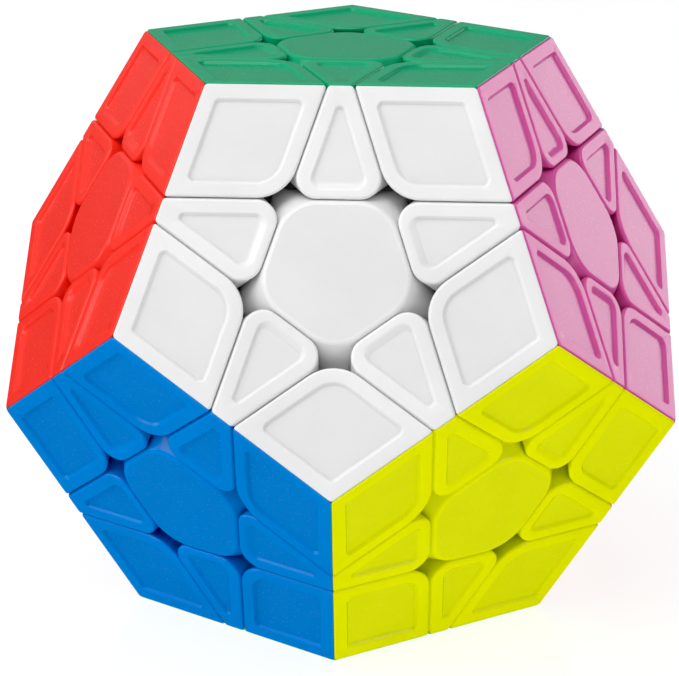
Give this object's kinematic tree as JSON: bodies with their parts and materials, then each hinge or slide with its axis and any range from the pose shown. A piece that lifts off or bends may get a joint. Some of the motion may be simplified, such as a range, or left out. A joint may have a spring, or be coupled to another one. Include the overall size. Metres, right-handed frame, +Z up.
{
  "type": "dodecahedron twisty puzzle",
  "caption": "Regular dodecahedron puzzle of coloured, recessed glossy tiles on dark inner feet around a screwed and sprung core, with turning face layers.",
  "frame": {"origin": "middle of the face that the puzzle stands on", "axes": "+Z is up, through the middle of the top face; -Y is the side that the white face tilts towards; +X is to the right of that face"},
  "size_m": [0.0986, 0.1038, 0.084],
  "materials": {
    "green_plastic": "glossy moulded green plastic",
    "white_plastic": "glossy moulded white plastic",
    "pink_plastic": "glossy moulded pink plastic",
    "sky_plastic": "glossy moulded pale blue plastic",
    "cream_plastic": "glossy moulded cream plastic",
    "red_plastic": "glossy moulded red plastic",
    "yellow_plastic": "glossy moulded yellow plastic",
    "orange_plastic": "glossy moulded orange plastic",
    "grey_plastic": "glossy moulded grey plastic",
    "purple_plastic": "glossy moulded purple plastic",
    "blue_plastic": "glossy moulded blue plastic",
    "lime_plastic": "glossy moulded lime plastic",
    "core_plastic": "satin black moulded plastic",
    "screw_steel": "bright zinc-plated steel",
    "spring_steel": "drawn spring wire"
  },
  "bodies": {
    "core": {"core_upper_half": "core_plastic", "core_lower_half": "core_plastic", "screws": "screw_steel", "washers": "screw_steel", "springs": "spring_steel", "green_cap": "green_plastic", "pink_cap": "pink_plastic", "cream_cap": "cream_plastic", "red_cap": "red_plastic", "yellow_cap": "yellow_plastic", "orange_cap": "orange_plastic", "grey_cap": "grey_plastic", "blue_cap": "blue_plastic", "lime_cap": "lime_plastic", "fixed_centre_bases": "core_plastic", "fixed_edge_feet": "core_plastic", "fixed_corner_feet": "core_plastic", "green_fixed_tiles": "green_plastic", "pink_fixed_tiles": "pink_plastic", "cream_fixed_tiles": "cream_plastic", "red_fixed_tiles": "red_plastic", "yellow_fixed_tiles": "yellow_plastic", "orange_fixed_tiles": "orange_plastic", "grey_fixed_tiles": "grey_plastic", "blue_fixed_tiles": "blue_plastic", "lime_fixed_tiles": "lime_plastic"},
    "white_layer": {"white_cap": "white_plastic", "white_layer_centre_base": "core_plastic", "white_layer_edge_feet": "core_plastic", "white_layer_corner_feet": "core_plastic", "white_layer_edge_tiles": "white_plastic", "white_layer_corner_tiles": "white_plastic", "white_layer_green_tiles": "green_plastic", "white_layer_pink_tiles": "pink_plastic", "white_layer_red_tiles": "red_plastic", "white_layer_yellow_tiles": "yellow_plastic", "white_layer_blue_tiles": "blue_plastic"},
    "sky_layer": {"sky_cap": "sky_plastic", "sky_layer_centre_base": "core_plastic", "sky_layer_edge_feet": "core_plastic", "sky_layer_corner_feet": "core_plastic", "sky_layer_edge_tiles": "sky_plastic", "sky_layer_corner_tiles": "sky_plastic", "sky_layer_green_tiles": "green_plastic", "sky_layer_pink_tiles": "pink_plastic", "sky_layer_cream_tiles": "cream_plastic", "sky_layer_orange_tiles": "orange_plastic", "sky_layer_grey_tiles": "grey_plastic"},
    "purple_layer": {"purple_cap": "purple_plastic", "purple_layer_centre_base": "core_plastic", "purple_layer_edge_feet": "core_plastic", "purple_layer_corner_feet": "core_plastic", "purple_layer_edge_tiles": "purple_plastic", "purple_layer_corner_tiles": "purple_plastic", "purple_layer_cream_tiles": "cream_plastic", "purple_layer_red_tiles": "red_plastic", "purple_layer_grey_tiles": "grey_plastic", "purple_layer_blue_tiles": "blue_plastic", "purple_layer_lime_tiles": "lime_plastic"}
  },
  "joints": [
    {"name": "turn_white_face", "type": "hinge", "parent": "core", "child": "white_layer", "pos_m": [0, 0, 0.042], "axis": [0, -0.8944, 0.4472], "continuous": true},
    {"name": "turn_sky_face", "type": "hinge", "parent": "core", "child": "sky_layer", "pos_m": [0, 0, 0.042], "axis": [0.5257, 0.7236, 0.4472], "continuous": true},
    {"name": "turn_purple_face", "type": "hinge", "parent": "core", "child": "purple_layer", "pos_m": [0, 0, 0.042], "axis": [-0.8507, 0.2764, -0.4472], "continuous": true}
  ]
}
